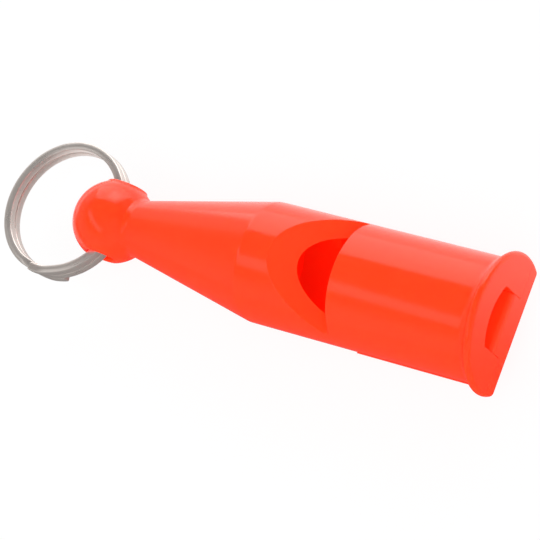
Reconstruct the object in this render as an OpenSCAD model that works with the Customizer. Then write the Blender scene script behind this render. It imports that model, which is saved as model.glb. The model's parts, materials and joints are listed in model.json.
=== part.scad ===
// Pea-less dog whistle: a moulded body with a flat mouthpiece, a plug that forms
// the windway floor, and a split ring that swings in the ball at the tail.
// Millimetres. X runs from the mouth face to the ring, Z points out of the window,
// and the round belly rests on Z = 0.

/* [Barrel] */
// Outside diameter of the barrel
barrel_d = 16; // [14:0.5:18]
// Length of the barrel, from the mouth face to the shoulder
barrel_len = 34.6; // [33:0.2:40]
// Wall between the barrel and the sound chamber
wall = 2.1; // [1.4:0.1:2.8]
// Height of the lip round the mouth face, above the barrel
lip_h = 1.1; // [0.7:0.1:1.6]
// Rounding of the lip's rim
lip_round = 0.45; // [0.2:0.05:0.6]
// Hollow flare from the barrel to the lip
lip_flare = 1.3; // [0.6:0.1:2]

/* [Mouthpiece plug] */
// Depth of the flat underside below the barrel's axis
flat_drop = 3.5; // [3:0.1:4.5]
// Length of the plug's bottom plate
plate_len = 18.6; // [15:0.2:22]
// Thickness of the plug's bottom plate
plate_t = 2.1; // [1.5:0.1:2.6]
// How far the plate stands proud of the barrel
plate_proud = 0.15; // [0:0.05:0.3]
// Rounding of the corners along the flat
flat_round = 0.75; // [0.3:0.05:1]
// Sill of the body between the plate's end and the window
sill_w = 2.3; // [1.8:0.1:3]
// How far the step behind the plate slopes back
step_run = 1.2; // [0.4:0.1:1.4]
// Joint clearance round the plug
plug_clear = 0.08; // [0.04:0.01:0.15]

/* [Windway] */
// Width of the windway
windway_w = 7.8; // [6:0.1:8.6]
// Radius of the windway's arched roof
roof_r = 6; // [5.4:0.1:7]
// Height of the windway at the mouth
mouth_h = 3.9; // [3:0.1:4.4]
// Height of the slit where the windway ends
slit_h = 1; // [0.6:0.05:1.5]
// How far the roof climbs on its way to the window
roof_rise = 0.95; // [0.4:0.05:1.2]
// How far the slit's roof lies below the sounding edge
edge_under = 0.1; // [0:0.05:0.4]
// Rounding of the windway floor's front edge
floor_round = 0.9; // [0.2:0.1:1.2]

/* [Window and chamber] */
// Length of the window, from the slit to the sounding edge
window_len = 6.1; // [5:0.1:7]
// Slope of the ramp behind the window, in degrees
ramp_angle = 32; // [28:1:38]
// Depth of the sound chamber from the slit
chamber_len = 12; // [10:0.5:14]

/* [Tail] */
// Length of the cone, from the shoulder to the neck
cone_len = 20.8; // [16:0.2:26]
// Diameter of the neck
neck_d = 7.5; // [6:0.1:9]
// Hollow fillet between the cone and the ball
neck_fillet = 0.9; // [0.4:0.1:2]
// Diameter of the ball
ball_d = 11.2; // [10:0.1:13]
// Room between the ring's wire and its hole
hole_clear = 0.35; // [0.25:0.05:0.6]
// Wall of the flat rim round the hole
rim_w = 0.57; // [0.4:0.01:1]
// How far the flat rim lies inside the ball's widest point
rim_drop = 0.4; // [0.3:0.05:0.7]

/* [Split ring] */
// Outside diameter of the split ring
ring_od = 19; // [16:0.1:24]
// Width of the wire across the ring
wire_w = 1.05; // [0.7:0.05:1.2]
// Height of one turn of the wire
wire_h = 1.05; // [0.8:0.05:1.3]
// Chamfer along the wire's corners
wire_chamfer = 0.25; // [0.1:0.05:0.3]
// Gap between the turns
turn_gap = 0.46; // [0.45:0.01:0.6]
// Angle over which the wire climbs from one turn to the next
climb_angle = 30; // [30:7.5:60]
// Middle of that climb, from the far side of the ring
climb_at = 90; // [60:7.5:120]
// How far the wire lies off the middle of its hole
ring_play = 0.8; // [0.4:0.1:1.2]
// Droop of the ring at rest, in degrees
ring_droop = 2; // [0:1:15]

/* [Hidden] */
$fn = 96;
body_colour = "#ff4826";
steel_colour = "#b9b2aa";
spare = 1;
arc_steps = 8;

barrel_r = barrel_d / 2;
lip_r = barrel_r + lip_h;
seam_z = plate_t - flat_drop;
exit_x = plate_len + sill_w;
chamber_r = barrel_r - wall;
roof_out = chamber_r - edge_under;
roof_in = roof_out - roof_rise;
floor_in = roof_in - mouth_h;
floor_out = roof_out - slit_h;
roof_tilt = atan(roof_rise / exit_x);
ramp_foot = chamber_r - window_len * tan(ramp_angle);

neck_r = neck_d / 2;
ball_r = ball_d / 2;
shoulder = [barrel_r, barrel_len];
ball_x = barrel_len + cone_len + sqrt(ball_r * ball_r - neck_r * neck_r);

ring_r = ring_od / 2;
wire_r = ring_r - wire_w / 2;
turn_pitch = wire_h + turn_gap;
stack_h = turn_pitch + wire_h;
ring_set = wire_r - ring_play;
inner_r = ring_r - wire_w;
hole_half = ball_r - rim_drop;
wire_reach = max(norm([ring_play + wire_w / 2, stack_h / 2]),
                 norm([ring_set - sqrt(inner_r * inner_r - hole_half * hole_half), stack_h / 2]));
hole_r = wire_reach + hole_clear;
rim_r = hole_r + rim_w;
overall_len = ball_x + (ring_set + ring_r) * cos(ring_droop) + stack_h / 2 * sin(ring_droop);

// Points of an arc round c, from angle a to angle b
function arc(c, r, a, b) =
    [for (i = [0:arc_steps]) c + r * [cos(a + (b - a) * i / arc_steps), sin(a + (b - a) * i / arc_steps)]];

// Outline of the lip as [radius, place] points: the rounded rim runs into the flare of a barrel of radius r
function lip_drop(r) = lip_flare + lip_round - (lip_r - r);
function lip_len(r) = lip_round + sqrt(pow(lip_flare + lip_round, 2) - pow(lip_drop(r), 2));
function lip_meet(r) = acos(lip_drop(r) / (lip_flare + lip_round));
function lip_outline(r) = concat(
    [[0, 0]],
    arc([lip_r - lip_round, lip_round], lip_round, -90, lip_meet(r)),
    arc([r + lip_flare, lip_len(r)], lip_flare, 180 + lip_meet(r), 180));

// The fillet in the neck touches the cone and the ball
cone_dir = [neck_r - barrel_r, cone_len] / norm([neck_r - barrel_r, cone_len]);
cone_out = [cone_dir[1], -cone_dir[0]];
ball_at = [0, ball_x];
fillet_from = shoulder + neck_fillet * cone_out - ball_at;
fillet_along = -fillet_from * cone_dir - sqrt(pow(fillet_from * cone_dir, 2)
    - fillet_from * fillet_from + pow(ball_r + neck_fillet, 2));
fillet_at = ball_at + fillet_from + fillet_along * cone_dir;
fillet_start = 180 + atan2(cone_out[1], cone_out[0]);
fillet_end = atan2(ball_at[1] - fillet_at[1], ball_at[0] - fillet_at[0]);

// Moves a shape from the barrel's axis to its place on the floor
module placed() { translate([-overall_len / 2, 0, barrel_r]) children(); }

// Turns an outline of [radius, place] points about the barrel's axis
module turned(points) { rotate([0, 90, 0]) rotate_extrude() polygon(points); }

// Draws an outline of [x, z] points across the whole width w
module across(points, w) { translate([0, w / 2, 0]) rotate([90, 0, 0]) linear_extrude(w) polygon(points); }

// Round bar along the ring's hole
module hole_bar(r, l) { translate([ball_x, 0, 0]) rotate([90, 0, 0]) cylinder(r = r, h = l, center = true); }

// Round bar under the windway's roof, r thick, which climbs with the roof
module roof_bar(r) {
    translate([0, 0, roof_in - roof_r]) rotate([0, 90 - roof_tilt, 0])
        translate([0, 0, -spare]) cylinder(r = r, h = exit_x + 2 * spare);
}

module outer_form() {
    turned(concat(lip_outline(barrel_r), [shoulder],
        arc(fillet_at, neck_fillet, fillet_start, fillet_end), [ball_at]));
    translate([ball_x, 0, 0]) sphere(r = ball_r);
    hole_bar(rim_r, 2 * hole_half);
}

// Room below the seam for the plug's plate, with the step to the belly
module plate_room() {
    room_end = plate_len + plug_clear;
    deep = barrel_r + 2 * spare;
    run = step_run * (deep - flat_drop) / (barrel_r - flat_drop);
    across([[-spare, seam_z], [room_end, seam_z], [room_end, -flat_drop], [room_end + run, -deep],
        [-spare, -deep]], 2 * lip_r + spare);
}

module windway_room() {
    intersection() {
        translate([-spare, -windway_w / 2, seam_z]) cube([exit_x + spare, windway_w, lip_r - seam_z]);
        roof_bar(roof_r);
    }
}

module window_room() {
    top = barrel_r + spare;
    across([[exit_x, ramp_foot], [exit_x, top], [exit_x + (top - ramp_foot) / tan(ramp_angle), top]],
        2 * lip_r);
}

module whistle_body() {
    color(body_colour) placed() difference() {
        outer_form();
        plate_room();
        windway_room();
        window_room();
        translate([exit_x, 0, 0]) rotate([0, 90, 0]) cylinder(r = chamber_r, h = chamber_len);
        hole_bar(hole_r, ball_d);
    }
}

// Cross-section of radius r with a flat underside and rounded corners, drawn in Y and Z
module flat_section(r) {
    corner_z = flat_round - flat_drop;
    corner_y = sqrt(pow(r - flat_round, 2) - corner_z * corner_z);
    meet_z = corner_z * r / (r - flat_round);
    intersection() {
        circle(r = r);
        translate([-r, meet_z]) square([2 * r, 2 * r]);
    }
    translate([-corner_y, -flat_drop]) square([2 * corner_y, flat_round]);
    for (side = [-1, 1]) translate([side * corner_y, corner_z]) circle(r = flat_round);
}

module flat_bar(r, from, to) {
    translate([from, 0, 0]) rotate([90, 0, 90]) linear_extrude(to - from) flat_section(r);
}

module plug_plate() {
    side_r = barrel_r + plate_proud;
    intersection() {
        turned(concat(lip_outline(side_r), [[side_r, plate_len], [0, plate_len]]));
        union() {
            flat_bar(lip_r, 0, lip_len(side_r));
            flat_bar(side_r, lip_len(side_r), plate_len);
        }
        translate([0, -lip_r, -flat_drop]) cube([plate_len, 2 * lip_r, plate_t - plug_clear]);
    }
}

module plug_tongue() {
    low = seam_z - plate_t / 2;
    intersection() {
        across(concat([[plate_len, low], [0, low]],
            arc([floor_round, floor_in - floor_round], floor_round, 180, 90),
            [[exit_x, floor_out], [exit_x, seam_z + plug_clear], [plate_len, seam_z + plug_clear]]),
            windway_w - 2 * plug_clear);
        roof_bar(roof_r - slit_h);
    }
}

module windway_plug() {
    color(body_colour) placed() {
        plug_plate();
        plug_tongue();
    }
}

// The wire's path: a flat turn, a climb, a second flat turn, with both ends lapped over the climb
wire_step = 7.5;
wire_turn = 360;
wire_travel = 2 * wire_turn + climb_angle;
wire_rings = round(wire_travel / wire_step);
side_w = wire_w / 2;
side_h = wire_h / 2;
flat_w = side_w - wire_chamfer;
flat_h = side_h - wire_chamfer;
wire_section = [[side_w, -flat_h], [side_w, flat_h], [flat_w, side_h], [-flat_w, side_h],
    [-side_w, flat_h], [-side_w, -flat_h], [-flat_w, -side_h], [flat_w, -side_h]];
wire_sides = len(wire_section);

function eased(t) = let (u = min(max(t, 0), 1)) u * u * (3 - 2 * u);
function wire_level(travel) = floor(travel / wire_turn) + eased((travel % wire_turn) / climb_angle) - 1.5;
function wire_ring(i) = let (travel = wire_travel * i / wire_rings, a = climb_at + climb_angle / 2 - travel)
    [for (p = wire_section) [(wire_r + p[0]) * cos(a), (wire_r + p[0]) * sin(a),
        p[1] + turn_pitch * wire_level(travel)]];

wire_points = [for (i = [0:wire_rings]) wire_ring(i)];
wire_sweep = [for (i = [0:wire_rings - 1], k = [0:wire_sides - 1])
    let (a = i * wire_sides + k, b = i * wire_sides + (k + 1) % wire_sides) each
    [[a, b, b + wire_sides], [a, b + wire_sides, a + wire_sides]]];
wire_ends = [for (k = [1:wire_sides - 2]) each [[0, k + 1, k],
    [wire_rings * wire_sides, wire_rings * wire_sides + k, wire_rings * wire_sides + k + 1]]];

// Least gap of the wire to itself, over points a turn apart, sampled along the edges between rings
rings_a_turn = round(wire_turn / wire_travel * wire_rings);
edge_samples = 4;
function edge_point(i, k, s) = wire_points[i][k] + (wire_points[i + 1][k] - wire_points[i][k]) * s / edge_samples;
least_gap = min([for (i = [0:wire_rings - rings_a_turn - 1], near = [-1:1], k = [0:wire_sides - 1],
    m = [0:wire_sides - 1], s = [0:edge_samples], q = [0:edge_samples])
    let (other = i + rings_a_turn + near) if (other < wire_rings)
    norm(edge_point(i, k, s) - edge_point(other, m, q))]);

module split_ring() {
    echo(least_gap_of_the_ring = least_gap);
    color(steel_colour) placed() translate([ball_x, 0, 0]) rotate([0, ring_droop, 0])
        translate([ring_set, 0, 0])
            polyhedron(points = [for (r = wire_points) each r], faces = concat(wire_sweep, wire_ends));
}

whistle_body();
windway_plug();
split_ring();
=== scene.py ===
# Dog whistle: a moulded body, its welded-in windway plug and a split ring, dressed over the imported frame
import json
import math

import bmesh
import bpy
from mathutils import Matrix, Vector

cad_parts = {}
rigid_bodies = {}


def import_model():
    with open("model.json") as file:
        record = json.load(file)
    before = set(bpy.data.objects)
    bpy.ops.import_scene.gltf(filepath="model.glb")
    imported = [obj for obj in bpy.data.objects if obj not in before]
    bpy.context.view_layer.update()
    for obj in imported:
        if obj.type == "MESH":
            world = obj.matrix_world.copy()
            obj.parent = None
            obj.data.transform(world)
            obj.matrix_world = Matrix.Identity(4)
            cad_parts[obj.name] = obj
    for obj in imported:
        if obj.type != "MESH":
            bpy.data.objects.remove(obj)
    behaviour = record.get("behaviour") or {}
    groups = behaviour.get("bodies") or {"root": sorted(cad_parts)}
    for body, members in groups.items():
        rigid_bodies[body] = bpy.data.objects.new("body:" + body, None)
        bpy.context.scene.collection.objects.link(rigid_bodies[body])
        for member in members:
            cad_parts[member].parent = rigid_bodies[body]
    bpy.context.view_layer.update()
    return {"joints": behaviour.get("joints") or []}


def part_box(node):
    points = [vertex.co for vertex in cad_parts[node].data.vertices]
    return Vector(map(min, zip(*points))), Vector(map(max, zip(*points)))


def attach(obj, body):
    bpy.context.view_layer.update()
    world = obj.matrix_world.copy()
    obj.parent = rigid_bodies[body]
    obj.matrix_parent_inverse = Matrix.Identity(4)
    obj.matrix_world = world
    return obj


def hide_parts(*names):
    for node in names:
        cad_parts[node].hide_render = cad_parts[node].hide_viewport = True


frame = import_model()
scene = bpy.context.scene
scene.view_settings.view_transform = "Standard"

# Pieces are drawn in millimetres, with X from the mouth face and Z from the barrel's axis
mm = 0.001
bodyLow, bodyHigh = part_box("whistle_body")
plugLow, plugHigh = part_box("windway_plug")
axisHeight = bodyHigh.z - bodyHigh.y           # the lip is as high above the axis as it is wide
toFrame = Matrix.Translation((bodyLow.x, 0, axisHeight)) @ Matrix.Scale(mm, 4)
ringHinge = Vector(frame["joints"][0]["pos_m"])
ballX = (ringHinge.x - bodyLow.x) / mm
slitX = (plugHigh.x - bodyLow.x) / mm
flatZ = (plugLow.z - axisHeight) / mm
lipRadius = bodyHigh.y / mm
print("frame: ball at", round(ballX, 2), "slit at", round(slitX, 2), "flat at", round(flatZ, 2), "mm")

photoCamera = {
    "place": (-155.622, 54.512, 256.514),      # mm, in the part's frame
    "aim": (-4.66, 0.9, 8.0),
    "roll": -52.2,                             # degrees about the line of sight
    "lens": 153.27,
    "sensor": 36.0,
    "clip": (0.01, 10),                        # metres
}


def makeCamera(setup):
    data = bpy.data.cameras.new("photoCamera")
    data.lens = setup["lens"]
    data.sensor_width = setup["sensor"]
    data.clip_start, data.clip_end = setup["clip"]
    camera = bpy.data.objects.new("photoCamera", data)
    scene.collection.objects.link(camera)
    place = Vector(setup["place"]) * mm
    aim = Vector(setup["aim"]) * mm
    look = (aim - place).to_track_quat("-Z", "Y").to_matrix().to_4x4()
    roll = Matrix.Rotation(math.radians(setup["roll"]), 4, "Z")
    camera.matrix_world = Matrix.Translation(place) @ look @ roll
    scene.camera = camera
    print("camera placed")


makeCamera(photoCamera)

drawing = {                                    # millimetres and degrees
    "weld": 0.0005,
    "slice": 0.0001,
    "touch": 0.01,                             # what lies this close to a plane lies on it
    "evenAngle": 0.4,                          # faces that lean less than this become one
    "sharpAngle": 28.0,                        # edges that bend more than this are rounded
    "roundSteps": 3,
}


def onlyVerts(geom):
    return [g for g in geom if isinstance(g, bmesh.types.BMVert)]


def onlyEdges(geom):
    return [g for g in geom if isinstance(g, bmesh.types.BMEdge)]


def makeObject(name, bm):
    mesh = bpy.data.meshes.new(name)
    bm.to_mesh(mesh)
    bm.free()
    made = bpy.data.objects.new(name, mesh)
    scene.collection.objects.link(made)
    return made


def lineTo(bm, vert, x, radius):               # goes on with an outline, straight to a place
    made = bmesh.ops.extrude_vert_indiv(bm, verts=[vert])
    tip = made["verts"][0]
    tip.co = (x, 0, radius)
    return tip


def arcTo(bm, vert, centre, degrees, steps):   # goes on with an outline, clockwise round a centre
    made = bmesh.ops.spin(bm, geom=[vert], cent=(centre[0], 0, centre[1]), axis=(0, 1, 0),
                          angle=math.radians(degrees), steps=steps)
    return onlyVerts(made["geom_last"])[0]


def turnOutline(bm, steps):                    # turns an outline about the barrel's axis
    bmesh.ops.spin(bm, geom=bm.verts[:] + bm.edges[:], cent=(0, 0, 0), axis=(1, 0, 0),
                   angle=2 * math.pi, steps=steps, use_merge=True)
    bmesh.ops.remove_doubles(bm, verts=bm.verts, dist=drawing["weld"])
    bmesh.ops.recalc_face_normals(bm, faces=bm.faces)


def drawAcross(points, width):                 # a prism: an outline in X and Z, drawn out along Y
    bm = bmesh.new()
    outline = bm.faces.new([bm.verts.new((x, -width / 2, z)) for x, z in points])
    made = bmesh.ops.extrude_face_region(bm, geom=[outline])
    bmesh.ops.translate(bm, verts=onlyVerts(made["geom"]), vec=(0, width, 0))
    bmesh.ops.recalc_face_normals(bm, faces=bm.faces)
    return bm


def roundBar(radius, length, turn, place, segments):
    bm = bmesh.new()
    bmesh.ops.create_cone(bm, cap_ends=True, segments=segments, radius1=radius, radius2=radius,
                          depth=length, matrix=Matrix.Translation(place) @ turn)
    return bm


def sliceOff(bm, place, normal):               # cuts away what lies beyond a plane, and closes the cut
    cut = bmesh.ops.bisect_plane(bm, geom=bm.verts[:] + bm.edges[:] + bm.faces[:], dist=drawing["slice"],
                                 plane_co=place, plane_no=normal, clear_outer=True)
    bmesh.ops.edgeloop_fill(bm, edges=onlyEdges(cut["geom_cut"]))
    bmesh.ops.recalc_face_normals(bm, faces=bm.faces)


def combine(piece, other, operation):          # joins, cuts or keeps what two closed shapes share
    step = piece.modifiers.new("combine", "BOOLEAN")
    step.operation = operation
    step.solver = "EXACT"
    step.object = other
    shown = piece.evaluated_get(bpy.context.evaluated_depsgraph_get())
    old = piece.data
    piece.modifiers.clear()
    piece.data = bpy.data.meshes.new_from_object(shown)
    bpy.data.meshes.remove(old)
    bpy.data.objects.remove(other)


def sharpEdges(bm, degrees):
    limit = math.radians(degrees)
    return [e for e in bm.edges if e.is_manifold and e.calc_face_angle(0) > limit]


def softenEdges(bm, edges, offset, segments):
    bmesh.ops.bevel(bm, geom=edges, offset=offset, offset_type="OFFSET", affect="EDGES", segments=segments,
                    profile=0.5, material=-1, clamp_overlap=False)


def setOrder(bm):                              # puts a mesh in one order, so that all runs are alike
    verts = sorted(bm.verts, key=lambda v: v.co[:])
    ranks = {vert: rank for rank, vert in enumerate(verts)}
    places = [vert.co.copy() for vert in verts]
    rings = []
    for face in bm.faces:
        ring = [ranks[vert] for vert in face.verts]
        first = ring.index(min(ring))
        rings.append(ring[first:] + ring[:first])
    bm.clear()
    verts = [bm.verts.new(place) for place in places]
    for ring in sorted(rings):
        bm.faces.new([verts[rank] for rank in ring])


def cleanMesh(bm, closest):                    # takes out doubles, slivers and edges across flat faces
    even = math.radians(drawing["evenAngle"])
    setOrder(bm)
    bmesh.ops.remove_doubles(bm, verts=bm.verts, dist=closest)
    bmesh.ops.dissolve_limit(bm, angle_limit=even, verts=bm.verts, edges=bm.edges)
    bmesh.ops.dissolve_degenerate(bm, edges=bm.edges, dist=closest)
    bmesh.ops.delete(bm, geom=[e for e in bm.edges if e.is_wire], context="EDGES")


def roundEdges(piece, bm, softness):           # rounds each sharp edge by its own width, in millimetres
    bmesh.ops.recalc_face_normals(bm, faces=bm.faces)
    weight = bm.edges.layers.float.new("bevel_weight_edge")
    sharp = sharpEdges(bm, drawing["sharpAngle"])
    widths = {edge: softness(edge) for edge in sharp if edge.is_convex}
    widest = max(widths.values())
    for edge, width in widths.items():
        edge[weight] = width / widest
    rounded = piece.modifiers.new("roundEdges", "BEVEL")
    rounded.limit_method = "WEIGHT"
    rounded.width = widest * mm
    rounded.segments = drawing["roundSteps"]
    rounded.profile = 0.5
    rounded.use_clamp_overlap = False


def finishMesh(piece, bm, matrix):             # puts a drawn mesh at its place in the frame
    bmesh.ops.transform(bm, matrix=matrix, verts=bm.verts)
    bmesh.ops.recalc_face_normals(bm, faces=bm.faces)
    for face in bm.faces:
        face.smooth = True
    bm.to_mesh(piece.data)
    bm.free()
    weighted = piece.modifiers.new("evenShade", "WEIGHTED_NORMAL")
    weighted.keep_sharp = True


mouthLip = {"rim": 0.55, "flare": 1.3, "rimSteps": 12, "flareSteps": 14}


def drawLip(bm, barrelRadius):                 # from the axis over the mouth face and the lip to the barrel
    rim = mouthLip["rim"]
    reach = rim + mouthLip["flare"]
    drop = reach - (lipRadius - barrelRadius)
    flareX = rim + math.sqrt(reach ** 2 - drop ** 2)
    meet = math.degrees(math.acos(drop / reach))
    vert = bm.verts.new((0, 0, 0))
    vert = lineTo(bm, vert, 0, lipRadius - rim)
    vert = arcTo(bm, vert, (rim, lipRadius - rim), 90 + meet, mouthLip["rimSteps"])
    return arcTo(bm, vert, (flareX, barrelRadius + mouthLip["flare"]), -meet, mouthLip["flareSteps"])


whistleBody = {
    "barrelRadius": 8.0,
    "barrelLength": 34.6,
    "wall": 2.1,
    "shoulderRound": 3.0,
    "coneLength": 20.8,
    "neckRadius": 3.75,
    "neckFillet": 1.5,
    "ballRadius": 5.6,
    "ballSink": 0.05,                          # how far the tail runs on under the ball's skin
    "holeRadius": 2.05,
    "holeSoft": 0.15,
    "mouthRound": 0.3,                         # the plain mouth of the hole
    "rimRadius": 2.85,                         # the flat rim round its other mouth
    "rimReach": 5.15,                          # from the ball's middle to that rim
    "rimRound": 0.25,
    "rimFillet": 0.8,
    "plateEnd": 18.68,
    "seamZ": -1.4,
    "stepRun": 1.2,
    "windwayWidth": 7.8,
    "windwayUnder": 0.5,                       # how far the windway is cut past the seam
    "windwayPast": 0.3,                        # and past the slit
    "roofRadius": 6.0,
    "roofIn": 4.85,
    "roofOut": 5.8,
    "windowLength": 6.1,
    "rampAngle": 32.0,
    "footRound": 0.7,
    "chamberLength": 12.0,
    "edgeSoft": 0.1,
    "edgeDepth": 0.1,                          # edges less deep than this lie on the barrel's skin
    "innerSoft": 0.04,
    "seamSoft": 0.03,
    "slotSoft": 0.12,
    "closest": 0.005,
    "spare": 1.0,
    "steps": {                                 # how finely each curve is drawn
        "turn": 164, "shoulder": 6, "neck": 10, "tail": 40,
        "core": 96, "hole": 5, "rim": 6, "rimFillet": 8, "mouth": 10, "ball": 24, "ballTurn": 144,
        "roof": 192, "foot": 8, "chamber": 144,
    },
}


def drawBodyForm(b):                           # lip, barrel, cone, neck and ball in one turned outline
    bm = bmesh.new()
    steps = b["steps"]
    slope = math.atan2(b["barrelRadius"] - b["neckRadius"], b["coneLength"])
    bendX = b["barrelLength"] - b["shoulderRound"] * math.tan(slope / 2)
    bend = (bendX, b["barrelRadius"] - b["shoulderRound"])
    vert = drawLip(bm, b["barrelRadius"])
    vert = lineTo(bm, vert, bendX, b["barrelRadius"])
    vert = arcTo(bm, vert, bend, math.degrees(slope), steps["shoulder"])
    along = Vector((math.cos(slope), -math.sin(slope)))
    outward = Vector((math.sin(slope), math.cos(slope)))
    away = Vector((b["barrelLength"] - ballX, b["barrelRadius"])) + outward * b["neckFillet"]
    inner = b["ballRadius"] - b["ballSink"]
    gap = inner + b["neckFillet"]
    run = -away.dot(along) - math.sqrt(away.dot(along) ** 2 - away.dot(away) + gap ** 2)
    fillet = away + along * run                # the fillet's centre, seen from the ball's
    start = fillet - outward * b["neckFillet"]
    toBall = math.degrees(math.atan2(fillet.y, -fillet.x))
    turn = 90 - toBall + math.degrees(slope)
    vert = lineTo(bm, vert, ballX + start.x, start.y)
    vert = arcTo(bm, vert, (ballX + fillet.x, fillet.y), -turn, steps["neck"])
    arcTo(bm, vert, (ballX, 0), 180 - toBall, steps["tail"])
    turnOutline(bm, steps["turn"])
    return bm


def drawRoofBar(radius, spare):                # the round bar under the windway's arched roof
    b = whistleBody
    tilt = math.atan2(b["roofOut"] - b["roofIn"], slitX)
    length = slitX + 2 * spare
    turn = Matrix.Rotation(math.radians(90) - tilt, 4, "Y")
    place = Vector((0, 0, b["roofIn"] - b["roofRadius"]))
    middle = place + Vector((math.cos(tilt), 0, math.sin(tilt))) * (length / 2 - spare)
    return roundBar(radius, length, turn, middle, b["steps"]["roof"])


def drawRimmedHalf(bm, b):                     # half the ball's outline, with a flat rim round the hole
    steps = b["steps"]
    hole, soft = b["holeRadius"], b["holeSoft"]
    reach, rim, edge, fillet = b["rimReach"], b["rimRadius"], b["rimRound"], b["rimFillet"]
    corner = Vector((reach - edge, rim - edge))
    far, near = b["ballRadius"] + fillet, edge + fillet
    swell = (far ** 2 + corner.length_squared - near ** 2) / (2 * far * corner.length)
    lean = math.atan2(corner.y, corner.x) + math.acos(swell)
    hollow = Vector((math.cos(lean), math.sin(lean))) * far   # the fillet's centre
    turn = math.atan2(hollow.y - corner.y, hollow.x - corner.x)
    vert = bm.verts.new((0, 0, hole))
    vert = lineTo(bm, vert, reach - soft, hole)
    vert = arcTo(bm, vert, (reach - soft, hole + soft), -90, steps["hole"])
    vert = lineTo(bm, vert, reach, rim - edge)
    vert = arcTo(bm, vert, corner, -math.degrees(turn), steps["rim"])
    vert = arcTo(bm, vert, hollow, math.degrees(turn - lean), steps["rimFillet"])
    arcTo(bm, vert, (0, 0), math.degrees(lean) - 90, steps["ball"])


def drawPlainHalf(bm, b):                      # the other half, with a mouth that is rounded into the ball
    steps = b["steps"]
    hole, mouth = b["holeRadius"], b["mouthRound"]
    away = math.sqrt((b["ballRadius"] - mouth) ** 2 - (hole + mouth) ** 2)
    lean = math.degrees(math.atan2(hole + mouth, away))
    vert = bm.verts.new((0, 0, hole))
    vert = lineTo(bm, vert, away, hole)
    vert = arcTo(bm, vert, (away, hole + mouth), -90 - lean, steps["mouth"])
    arcTo(bm, vert, (0, 0), lean - 90, steps["ball"])


def drawBall(b):                               # the ball, turned about the ring's hole
    bm = bmesh.new()
    drawRimmedHalf(bm, b)
    bmesh.ops.scale(bm, vec=(-1, 1, 1), verts=bm.verts)
    drawPlainHalf(bm, b)
    bmesh.ops.remove_doubles(bm, verts=bm.verts, dist=drawing["weld"])
    turnOutline(bm, b["steps"]["ballTurn"])
    place = Matrix.Translation((ballX, 0, 0)) @ Matrix.Rotation(math.radians(90), 4, "Z")
    bmesh.ops.transform(bm, matrix=place, verts=bm.verts)
    return bm


def bodySoftness(edge):                        # how far each kind of edge on the body is rounded
    b, touch = whistleBody, drawing["touch"]
    ends = [vert.co for vert in edge.verts]
    if all(place.z < b["seamZ"] + touch for place in ends):
        return b["seamSoft"]
    if all(place.x < touch for place in ends):
        return b["slotSoft"]
    if all(place.yz.length > b["barrelRadius"] - b["edgeDepth"] for place in ends):
        return b["edgeSoft"]
    return b["innerSoft"]


def makeBody(b):
    spare, steps = b["spare"], b["steps"]
    wide = 3 * lipRadius                       # well past both sides
    across = Matrix.Rotation(math.radians(90), 4, "X")
    along = Matrix.Rotation(math.radians(90), 4, "Y")
    ballPlace = Vector((ballX, 0, 0))
    piece = makeObject("moulded_body", drawBodyForm(b))
    coreRadius = (b["holeRadius"] + b["rimRadius"]) / 2   # the ball then brings the hole's own wall
    core = roundBar(coreRadius, 4 * b["ballRadius"], across, ballPlace, steps["core"])
    combine(piece, makeObject("core", core), "DIFFERENCE")
    combine(piece, makeObject("ball", drawBall(b)), "UNION")

    deep = lipRadius + spare                   # the room for the plug's plate
    run = b["stepRun"] * (deep + flatZ) / (b["barrelRadius"] + flatZ)
    end = b["plateEnd"]
    plateRoom = [(-spare, b["seamZ"]), (end, b["seamZ"]), (end, flatZ), (end + run, -deep), (-spare, -deep)]
    combine(piece, makeObject("plateRoom", drawAcross(plateRoom, wide)), "DIFFERENCE")

    windway = drawRoofBar(b["roofRadius"], spare)
    half = b["windwayWidth"] / 2
    sliceOff(windway, (0, half, 0), (0, 1, 0))
    sliceOff(windway, (0, -half, 0), (0, -1, 0))
    sliceOff(windway, (0, 0, b["seamZ"] - b["windwayUnder"]), (0, 0, -1))
    sliceOff(windway, (slitX + b["windwayPast"], 0, 0), (1, 0, 0))
    combine(piece, makeObject("windway", windway), "DIFFERENCE")

    slope = math.tan(math.radians(b["rampAngle"]))   # the window and the chamber under it
    chamberRadius = b["barrelRadius"] - b["wall"]
    foot = chamberRadius - b["windowLength"] * slope
    top = b["barrelRadius"] + spare
    window = drawAcross([(slitX, foot), (slitX, top), (slitX + (top - foot) / slope, top)], wide)
    footEdge = [e for e in window.edges if all(v.co.z < foot + drawing["touch"] for v in e.verts)]
    footAngle = math.radians(90 - b["rampAngle"])
    softenEdges(window, footEdge, b["footRound"] / math.tan(footAngle / 2), steps["foot"])
    combine(piece, makeObject("window", window), "DIFFERENCE")
    middle = Vector((slitX + b["chamberLength"] / 2, 0, 0))
    chamber = roundBar(chamberRadius, b["chamberLength"], along, middle, steps["chamber"])
    combine(piece, makeObject("chamber", chamber), "DIFFERENCE")

    bm = bmesh.new()
    bm.from_mesh(piece.data)
    cleanMesh(bm, b["closest"])
    roundEdges(piece, bm, bodySoftness)
    finishMesh(piece, bm, toFrame)
    print("body:", len(piece.data.polygons), "faces")
    return piece


body = makeBody(whistleBody)

windwayPlug = {
    "sideRadius": 8.15,
    "plateLength": 18.6,
    "plateTop": -1.41,
    "flatRound": 0.15,
    "tongueWidth": 7.74,
    "archRadius": 5.0,
    "archSpare": 3.0,
    "floorIn": 0.95,
    "floorOut": 4.8,
    "frontRound": 0.9,
    "tongueLow": -2.45,
    "tongueUnder": -1.32,
    "edgeSoft": 0.03,
    "closest": 0.01,
    "steps": {"turn": 84, "flat": 6, "front": 8},   # few turns, so that no line runs through the rounded flat
}


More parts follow.
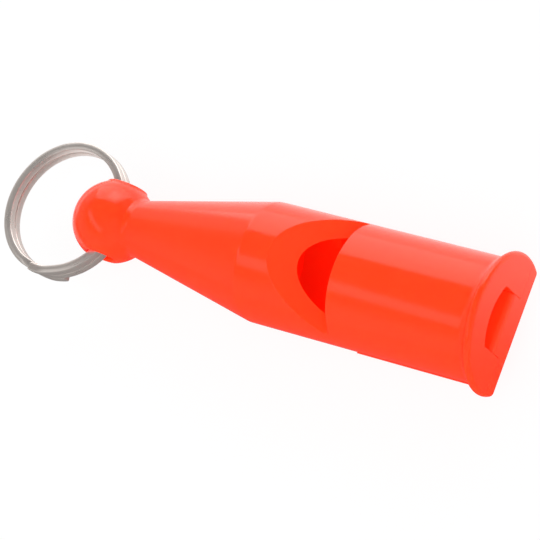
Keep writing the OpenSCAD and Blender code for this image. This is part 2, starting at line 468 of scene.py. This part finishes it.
def makePlug(p):
    steps, touch = p["steps"], drawing["touch"]
    plate = bmesh.new()
    vert = drawLip(plate, p["sideRadius"])
    vert = lineTo(plate, vert, p["plateLength"], p["sideRadius"])
    lineTo(plate, vert, p["plateLength"], 0)
    turnOutline(plate, steps["turn"])
    sliceOff(plate, (0, 0, p["plateTop"]), (0, 0, 1))
    sliceOff(plate, (0, 0, flatZ), (0, 0, -1))
    cleanMesh(plate, p["closest"])
    sharp = sharpEdges(plate, drawing["sharpAngle"])
    onFlat = [e for e in sharp if all(abs(v.co.z - flatZ) < touch for v in e.verts)]
    notLast = [e for e in onFlat if any(v.co.x < p["plateLength"] - touch for v in e.verts)]
    softenEdges(plate, notLast, p["flatRound"], steps["flat"])
    piece = makeObject("windway_floor_plug", plate)

    front = p["frontRound"]
    tongue = bmesh.new()
    vert = tongue.verts.new((p["plateLength"], 0, p["tongueLow"]))
    first = vert
    vert = lineTo(tongue, vert, 0, p["tongueLow"])
    vert = lineTo(tongue, vert, 0, p["floorIn"] - front)
    vert = arcTo(tongue, vert, (front, p["floorIn"] - front), 90, steps["front"])
    vert = lineTo(tongue, vert, slitX, p["floorOut"])
    vert = lineTo(tongue, vert, slitX, p["tongueUnder"])
    vert = lineTo(tongue, vert, p["plateLength"], p["tongueUnder"])
    tongue.edges.new((vert, first))
    bmesh.ops.edgeloop_fill(tongue, edges=tongue.edges)
    bmesh.ops.translate(tongue, verts=tongue.verts, vec=(0, -p["tongueWidth"] / 2, 0))
    made = bmesh.ops.extrude_face_region(tongue, geom=tongue.faces[:])
    bmesh.ops.translate(tongue, verts=onlyVerts(made["geom"]), vec=(0, p["tongueWidth"], 0))
    bmesh.ops.recalc_face_normals(tongue, faces=tongue.faces)
    arched = makeObject("tongue", tongue)
    combine(arched, makeObject("arch", drawRoofBar(p["archRadius"], p["archSpare"])), "INTERSECT")
    combine(piece, arched, "UNION")

    bm = bmesh.new()
    bm.from_mesh(piece.data)
    cleanMesh(bm, p["closest"])
    roundEdges(piece, bm, lambda edge: p["edgeSoft"])
    finishMesh(piece, bm, toFrame)
    print("plug:", len(piece.data.polygons), "faces")
    return piece


plug = makePlug(windwayPlug)

splitRing = {
    "outerRadius": 9.5,
    "wireWidth": 1.1,
    "wireHeight": 1.28,
    "crownRadius": 1.6,                        # the wire's upper and lower faces are arched
    "wireRound": 0.09,
    "endRound": 0.12,
    "turnGap": 0.01,
    "turns": 2,
    "firstLayer": -1.5,                        # the wire starts here, so that the turns lie about the middle
    "ringSet": 8.175,                          # from the hole's axis to the ring's middle
    "droop": 2.0,
    "lowEnd": 108.0,                           # degrees from the far side of the ring
    "lap": 25.0,                               # how far the upper end passes the lower one
    "wait": 12.5,                              # how far each turn goes before it climbs
    "climb": 25.0,
    "flare": 0.25,                             # how far the upper end springs outwards
    "stepAngle": 2.5,
    "steps": {"crown": 8, "corner": 3, "end": 3},
}


def eased(share):                              # a soft start and a soft end
    share = min(max(share, 0), 1)
    return share * share * (3 - 2 * share)


def ringLevel(r, travel):                      # how many layers the wire has climbed on its way
    turns, inTurn = divmod(travel, 360)
    return turns + eased((inTurn - r["wait"]) / r["climb"])


def drawWire(r):                               # the wire's section: straight sides, arched faces
    bm = bmesh.new()
    steps = r["steps"]
    half = r["wireWidth"] / 2
    lean = math.asin(half / r["crownRadius"])
    drop = r["wireHeight"] / 2 - r["crownRadius"]
    side = drop + r["crownRadius"] * math.cos(lean)
    corners = [bm.verts.new((half, 0, -side))]
    for way in (1, -1):
        corners.append(lineTo(bm, corners[-1], half * way, side * way))
        corners.append(arcTo(bm, corners[-1], (0, drop * way), -math.degrees(2 * lean), steps["crown"]))
    bmesh.ops.weld_verts(bm, targetmap={corners[-1]: corners[0]})
    bmesh.ops.edgeloop_fill(bm, edges=bm.edges)
    bmesh.ops.bevel(bm, geom=corners[:-1], offset=r["wireRound"], affect="VERTICES", segments=steps["corner"],
                    profile=0.5, material=-1)
    return bm


def makeRing(r):
    pitch = r["wireHeight"] + r["turnGap"]
    middle = r["outerRadius"] - r["wireWidth"] / 2
    rounds = 360 * r["turns"]
    bm = drawWire(r)
    start = Matrix.Rotation(math.radians(r["lowEnd"]), 4, "Z")
    out = Matrix.Translation((middle, 0, r["firstLayer"] * pitch))
    bmesh.ops.transform(bm, matrix=start @ out, verts=bm.verts)
    ends = [bm.faces[:][0]]
    geom = bm.verts[:] + bm.edges[:]
    count = round((rounds + r["lap"]) / r["stepAngle"])
    travels = [step * r["stepAngle"] for step in range(count + 1)]
    for past, travel in zip(travels, travels[1:]):
        away = Matrix.Rotation(math.radians(r["lowEnd"] - travel), 4, "Z") @ Vector((1, 0, 0))
        spring = eased((travel - rounds) / r["lap"]) - eased((past - rounds) / r["lap"])
        move = away * r["flare"] * spring
        move.z = pitch * (ringLevel(r, travel) - ringLevel(r, past))
        made = bmesh.ops.spin(bm, geom=geom, cent=(0, 0, 0), axis=(0, 0, 1), dvec=move,
                              angle=math.radians(-r["stepAngle"]), steps=1)
        geom = made["geom_last"]
    ends.append(bmesh.ops.contextual_create(bm, geom=onlyEdges(geom))["faces"][0])
    bmesh.ops.recalc_face_normals(bm, faces=bm.faces)
    softenEdges(bm, [e for face in ends for e in face.edges], r["endRound"], r["steps"]["end"])
    piece = makeObject("wound_split_ring", bmesh.new())
    droop = Matrix.Rotation(math.radians(r["droop"]), 4, "Y")
    shift = Matrix.Translation((r["ringSet"] * mm, 0, 0))
    finishMesh(piece, bm, Matrix.Translation(ringHinge) @ droop @ shift @ Matrix.Scale(mm, 4))
    print("ring:", len(piece.data.polygons), "faces")
    return piece


ring = makeRing(splitRing)


class Nodes:                                   # one node tree, and the one way to add to it
    def __init__(self, tree):
        self.tree = tree
        tree.nodes.clear()

    def add(self, kind, settings, inputs, output=0):
        node = self.tree.nodes.new(kind)
        for name, value in settings.items():
            setattr(node, name, value)
        for name, value in inputs.items():
            if isinstance(value, Signal):
                self.tree.links.new(value.socket, node.inputs[name])
            else:
                node.inputs[name].default_value = value
        return Signal(self, node.outputs[output] if len(node.outputs) else None)

    def mixColours(self, share, first, second):   # a Mix node's colour sockets go by number
        return self.add("ShaderNodeMix", {"data_type": "RGBA"}, {0: share, 6: first, 7: second}, output=2)


class Signal:                                  # a socket that sums and products can be written with
    def __init__(self, nodes, socket):
        self.nodes = nodes
        self.socket = socket

    def maths(self, operation, first, second):
        return self.nodes.add("ShaderNodeMath", {"operation": operation}, {0: first, 1: second})

    def __add__(self, other):
        return self.maths("ADD", self, other)

    def __radd__(self, other):
        return self.maths("ADD", other, self)

    def __sub__(self, other):
        return self.maths("SUBTRACT", self, other)

    def __rsub__(self, other):
        return self.maths("SUBTRACT", other, self)

    def __mul__(self, other):
        return self.maths("MULTIPLY", self, other)

    def __rmul__(self, other):
        return self.maths("MULTIPLY", other, self)

    def __pow__(self, other):
        return self.maths("POWER", self, other)

    def part(self, index):                     # one coordinate of a vector
        return self.nodes.add("ShaderNodeSeparateXYZ", {}, {"Vector": self}, output=index)


noiseMiddle = 0.5                              # what a noise texture swings about

orangePlastic = {
    "base": (1.0, 0.048, 0.0075, 1),
    "pale": (1.0, 0.055, 0.0105, 1),           # where the colour lies a little thinner
    "roughness": 0.15,
    "ior": 1.5,
    "glow": 0.4,
    "glowReach": (1.0, 0.12, 0.04),
    "glowScale": 0.0015,
    "paintedGlowColour": (1.0, 0.004, 0.0, 1),            # painted glow: a steady red emission standing in for the day-glow pigment's fluorescence, which also lifts the red in shade and in the window's hollow
    "paintedGlowStrength": 0.3,
    "peelScale": 900.0,
    "peelDetail": 2.0,
    "peelDepth": 0.000004,
    "peelRough": 0.04,
    "cloudScale": 90.0,
    "cloudDetail": 3.0,
    "cloudRough": 0.08,
}


def makePlastic(p):
    material = bpy.data.materials.new("orange_plastic")
    material.use_nodes = True
    nodes = Nodes(material.node_tree)
    place = nodes.add("ShaderNodeTexCoord", {}, {}, output="Object")
    cloud = nodes.add("ShaderNodeTexNoise", {}, {
        "Vector": place, "Scale": p["cloudScale"], "Detail": p["cloudDetail"],
    })
    peel = nodes.add("ShaderNodeTexNoise", {}, {
        "Vector": place, "Scale": p["peelScale"], "Detail": p["peelDetail"],
    })
    colour = nodes.mixColours(cloud, p["base"], p["pale"])
    uneven = (cloud - noiseMiddle) * p["cloudRough"] + (peel - noiseMiddle) * p["peelRough"]
    bump = nodes.add("ShaderNodeBump", {}, {"Height": peel, "Distance": p["peelDepth"], "Strength": 1.0})
    # painted glow: the emission below makes the plastic shine red by itself, also in shade and inside the
    # window
    surface = nodes.add("ShaderNodeBsdfPrincipled", {}, {
        "Base Color": colour, "Roughness": p["roughness"] + uneven, "IOR": p["ior"], "Normal": bump,
        "Subsurface Weight": p["glow"], "Subsurface Radius": p["glowReach"],
        "Subsurface Scale": p["glowScale"],
        "Emission Color": p["paintedGlowColour"], "Emission Strength": p["paintedGlowStrength"],
    })
    nodes.add("ShaderNodeOutputMaterial", {}, {"Surface": surface})
    return material


ringSteel = {
    "base": (0.97, 0.885, 0.825, 1),
    "dull": (0.84, 0.765, 0.71, 1),
    "metal": 0.8,                              # a satin plating scatters part of the light
    "roughness": 0.3,
    "lineScale": 9000.0,
    "lineDetail": 3.0,
    "lineDepth": 0.000001,
    "lineShare": 0.4,                          # the rest of the tone is cloudy
    "cloudScale": 400.0,
    "cloudDetail": 3.0,
    "toneRough": 0.2,
}


def makeSteel(s):
    material = bpy.data.materials.new("ring_steel")
    material.use_nodes = True
    nodes = Nodes(material.node_tree)
    place = nodes.add("ShaderNodeTexCoord", {}, {}, output="Object")
    middle = ringHinge + Vector((splitRing["ringSet"] * mm, 0, 0))
    fromMiddle = nodes.add("ShaderNodeVectorMath", {"operation": "SUBTRACT"}, {0: place, 1: middle})
    x, y, z = (fromMiddle.part(i) for i in range(3))
    outward = (x * x + y * y) ** 0.5
    across = nodes.add("ShaderNodeCombineXYZ", {}, {"X": outward, "Y": z, "Z": 0.0})   # lines along the wire
    lines = nodes.add("ShaderNodeTexNoise", {}, {
        "Vector": across, "Scale": s["lineScale"], "Detail": s["lineDetail"],
    })
    cloud = nodes.add("ShaderNodeTexNoise", {}, {
        "Vector": place, "Scale": s["cloudScale"], "Detail": s["cloudDetail"],
    })
    tone = lines * s["lineShare"] + cloud * (1 - s["lineShare"])
    colour = nodes.mixColours(tone, s["dull"], s["base"])
    rough = s["roughness"] + (tone - noiseMiddle) * s["toneRough"]
    bump = nodes.add("ShaderNodeBump", {}, {"Height": lines, "Distance": s["lineDepth"], "Strength": 1.0})
    surface = nodes.add("ShaderNodeBsdfPrincipled", {}, {
        "Base Color": colour, "Metallic": s["metal"], "Roughness": rough, "Normal": bump,
    })
    nodes.add("ShaderNodeOutputMaterial", {}, {"Surface": surface})
    return material


plastic = makePlastic(orangePlastic)
steel = makeSteel(ringSteel)
dressing = [
    (body, "whistle", "whistle_body", "orange_plastic", plastic),
    (plug, "whistle", "windway_plug", "orange_plastic", plastic),
    (ring, "ring", "split_ring", "ring_steel", steel),
]
for piece, carrier, node, slot, material in dressing:
    piece.data.materials.clear()
    piece.data.materials.append(material)
    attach(piece, carrier)
    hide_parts(node)
print("pieces dressed")

studio = {
    "floorSize": 4.0,
    "floorColour": (0.88, 0.88, 0.88, 1),
    "floorWhite": 0.9,                         # share of plain white that the camera sees
    "floorSheen": 0.9,                         # share of the floor's painted shade that reflections see
    "floorPaintedShade": (0.06, 1.0),                  # painted shade and painted light on the floor for reflections: dark on the far side of the lamps, bright on their own side
    "floorTurn": (0.006, -0.02),               # where the one goes over to the other
    "tailReach": (0.0326, 0.0382),             # past the ball, the whistle's painted shade on the floor ends
    "tailShift": 0.014,
    "worldDiffuse": 0.6,
    "worldGlossy": (0.3, 0.05),                # walls and ceiling, as reflections see them
    "wallTop": (0.35, 0.7),
    "softbox": {"place": (0.2, -0.46, 0.27), "aim": (0.2, 0, 0.2), "size": (0.7, 0.54), "radiance": 1.3},
    "screen": {"place": (0.8, -0.46, 0.27), "aim": (0.4, 0, 0.2), "size": (0.5, 0.54), "radiance": 0.25},
    "umbrella": {"place": (0.05, -0.5, 0.3), "aim": (0, 0, 0), "size": (0.26, 0.26), "radiance": 1.1},
    "strip": {"place": (0.2, 0.2, 0.41), "aim": (0, 0, 0), "size": (0.6, 0.11), "radiance": 0.75},
    "fill": {"from": (-0.35, 0.45, 0.8), "strength": 1.8, "angle": 60.0},
}


def makeFloor(s):
    bm = bmesh.new()
    bmesh.ops.create_grid(bm, x_segments=1, y_segments=1, size=s["floorSize"] / 2)
    floor = makeObject("floor", bm)
    material = bpy.data.materials.new("pale_floor")
    material.use_nodes = True
    nodes = Nodes(material.node_tree)
    camera = nodes.add("ShaderNodeLightPath", {}, {}, output="Is Camera Ray")
    glossy = nodes.add("ShaderNodeLightPath", {}, {}, output="Is Glossy Ray")
    through = nodes.add("ShaderNodeLightPath", {}, {}, output="Is Transmission Ray")
    share = camera * s["floorWhite"] + (glossy + through) * s["floorSheen"]
    matt = nodes.add("ShaderNodeBsdfDiffuse", {}, {"Color": s["floorColour"]})
    place = nodes.add("ShaderNodeTexCoord", {}, {}, output="Object")
    turn, tone, tail = s["floorTurn"], s["floorPaintedShade"], s["tailReach"]
    past = nodes.add("ShaderNodeMapRange", {}, {
        "Value": place.part(0), "From Min": tail[0], "From Max": tail[1],
        "To Min": 0.0, "To Max": s["tailShift"],
    })
    # painted shade: reflections see the floor darker where the whistle would shade it and brighter on the
    # lamps' side, while the camera still sees plain white
    shade = place.part(1) - past
    side = nodes.add("ShaderNodeMapRange", {"interpolation_type": "SMOOTHSTEP"}, {
        "Value": shade, "From Min": turn[0], "From Max": turn[1], "To Min": tone[0], "To Max": tone[1],
    })
    level = camera + (1 - camera) * side
    white = nodes.add("ShaderNodeEmission", {}, {"Color": (1, 1, 1, 1), "Strength": level})
    mixed = nodes.add("ShaderNodeMixShader", {}, {0: share, 1: matt, 2: white})
    nodes.add("ShaderNodeOutputMaterial", {}, {"Surface": mixed})
    floor.data.materials.append(material)


def makeWorld(s):
    world = bpy.data.worlds.new("studio")
    scene.world = world
    world.use_nodes = True
    nodes = Nodes(world.node_tree)
    camera = nodes.add("ShaderNodeLightPath", {}, {}, output="Is Camera Ray")
    glossy = nodes.add("ShaderNodeLightPath", {}, {}, output="Is Glossy Ray")
    toward = nodes.add("ShaderNodeTexCoord", {}, {}, output="Generated")
    low, high = s["wallTop"]
    wall, ceiling = s["worldGlossy"]
    mirrored = nodes.add("ShaderNodeMapRange", {"interpolation_type": "SMOOTHSTEP"}, {
        "Value": toward.part(2), "From Min": low, "From Max": high, "To Min": wall, "To Max": ceiling,
    })
    level = s["worldDiffuse"] + glossy * (mirrored - s["worldDiffuse"]) + camera * (1 - s["worldDiffuse"])
    light = nodes.add("ShaderNodeBackground", {}, {"Color": (1, 1, 1, 1), "Strength": level})
    nodes.add("ShaderNodeOutputWorld", {}, {"Surface": light})


def makeAreaLamp(name, lamp):
    data = bpy.data.lights.new(name, "AREA")
    data.shape = "RECTANGLE"
    data.size, data.size_y = lamp["size"]
    data.energy = lamp["radiance"] * math.pi * lamp["size"][0] * lamp["size"][1]
    light = bpy.data.objects.new(name, data)
    scene.collection.objects.link(light)
    place = Vector(lamp["place"])
    look = (Vector(lamp["aim"]) - place).to_track_quat("-Z", "Y").to_matrix().to_4x4()
    light.matrix_world = Matrix.Translation(place) @ look


def makeFill(lamp):                            # a wide soft light that leaves no reflection
    data = bpy.data.lights.new("fill", "SUN")
    data.energy = lamp["strength"]
    data.angle = math.radians(lamp["angle"])
    light = bpy.data.objects.new("fill", data)
    scene.collection.objects.link(light)
    light.matrix_world = (-Vector(lamp["from"])).to_track_quat("-Z", "Y").to_matrix().to_4x4()
    light.visible_glossy = False


makeFloor(studio)
makeWorld(studio)
for name in ("softbox", "screen", "umbrella", "strip"):
    makeAreaLamp(name, studio[name])
makeFill(studio["fill"])
print("studio lit")
